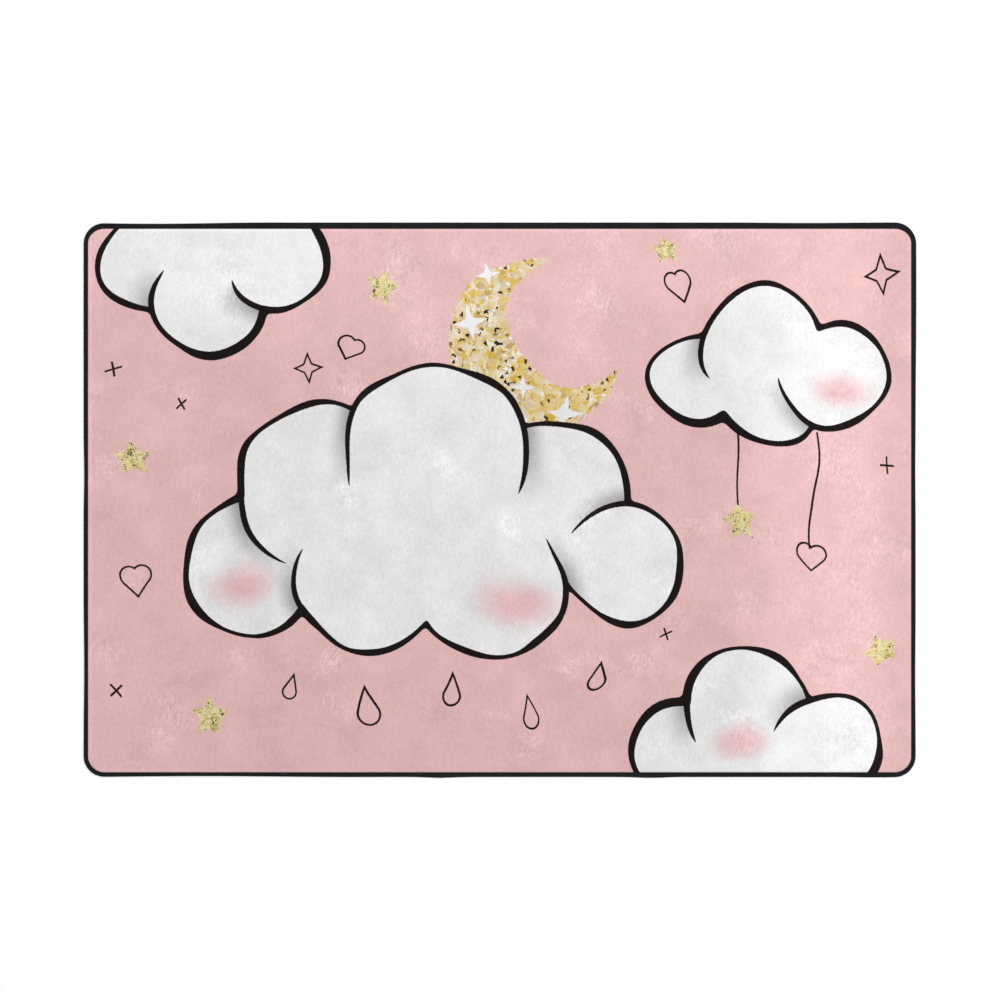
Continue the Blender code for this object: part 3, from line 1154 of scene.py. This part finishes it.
def build_stitches():
    """Lockstitches in one row over the tape's lip and one below, each a plump little roll of thread."""
    count = round(KNOTS[-1] / TAPE_STEP / 2)
    # The even stations are needle holes, so a stitch lies at each odd one
    crest, lip, way = seam_walk(2 * count)
    lap = np.linalg.norm(crest + way * BOUND_TOP / 2 - lip, axis=1)[1::2]
    spots = (lip + way * STITCH_INSET)[1::2]
    rise = np.sin(math.pi / 2 * STITCH_INSET / (lap - BOUND_TOP / 2))
    tops = LIP_TOP + (BOUND_TOP - LIP_TOP) * rise + TOP_RISE
    leans = np.arctan2(way[1::2, 1], way[1::2, 0]) + math.pi / 2
    leans += np.random.default_rng(STITCH_SEED).uniform(*STITCH_LEAN, count)

    pattern = bpy.data.meshes.new("stitch")
    one = bmesh.new()
    bmesh.ops.create_uvsphere(one, u_segments=5, v_segments=5, radius=0.5)
    one.to_mesh(pattern)
    roll = np.array([vertex.co for vertex in one.verts]) * (STITCH_LENGTH, THREAD_WIDTH, THREAD_WIDTH)
    one.free()
    bm = bmesh.new()
    for _ in range(2 * count):
        bm.from_mesh(pattern)
    bpy.data.meshes.remove(pattern)

    along = np.column_stack([np.cos(leans), np.sin(leans)])
    across = np.column_stack([-along[:, 1], along[:, 0]])
    flat = spots[:, None] + roll[None, :, :1] * along[:, None] + roll[None, :, 1:2] * across[:, None]
    above = tops[:, None] + roll[None, :, 2] * TOP_PLUMPNESS
    below = LOWER_RISE + np.tile(roll[None, :, 2] * LOWER_PLUMPNESS, (count, 1))
    move_to(bm, np.concatenate([np.dstack([flat, above]), np.dstack([flat, below])]).reshape(-1, 3))
    piece = new_piece("seam_stitches", bm, (sewing_thread(),))
    return piece


# The stage

def build_stage():
    """A plain matt white floor, one broad soft light overhead and an even white surround."""
    material, tree = new_material("white_floor")
    finish(tree, {"Base Color": linear(FLOOR_COLOUR), "Roughness": 0.9, "Specular IOR Level": 0.1})
    finish(tree, {"Emission Color": linear(WHITE), "Emission Strength": FLOOR_GLOW})
    bm = bmesh.new()
    bmesh.ops.create_circle(bm, cap_ends=True, segments=64, radius=FLOOR_RADIUS)
    bmesh.ops.translate(bm, verts=bm.verts, vec=(0.0, 0.0, -FLOOR_GAP))
    new_mesh("floor", bm, (material,))

    softbox = bpy.data.lights.new("softbox", "AREA")
    softbox.shape = "RECTANGLE"
    softbox.size = LAMP_LENGTH
    softbox.size_y = LAMP_WIDTH
    softbox.energy = LAMP_WATTS
    lamp = new_object("softbox", softbox)
    lamp.location = LAMP_PLACE
    lamp.rotation_euler = LAMP_PLACE.to_track_quat("Z", "Y").to_euler()

    world = bpy.data.worlds.new("studio")
    world.use_nodes = True
    background = world.node_tree.nodes["Background"]
    background.inputs["Color"].default_value = linear(WHITE)
    background.inputs["Strength"].default_value = SURROUND_STRENGTH
    bpy.context.scene.world = world
    bpy.context.scene.view_settings.view_transform = "Standard"


def build_camera():
    """Straight above the rug, on a long lens, framed as in the photograph."""
    camera = bpy.data.cameras.new("photo_camera")
    camera.lens = LENS_MM
    camera.sensor_width = SENSOR_MM
    camera.clip_end = VIEW_DEPTH
    eye = new_object("photo_camera", camera)
    eye.location = (0.0, EYE_SHIFT, MAT_TOP + FRAME_WIDTH * LENS_MM / SENSOR_MM)
    bpy.context.scene.camera = eye


build_camera()
build_stage()
mat = build_mat()
tape = build_tape()
stitches = build_stitches()
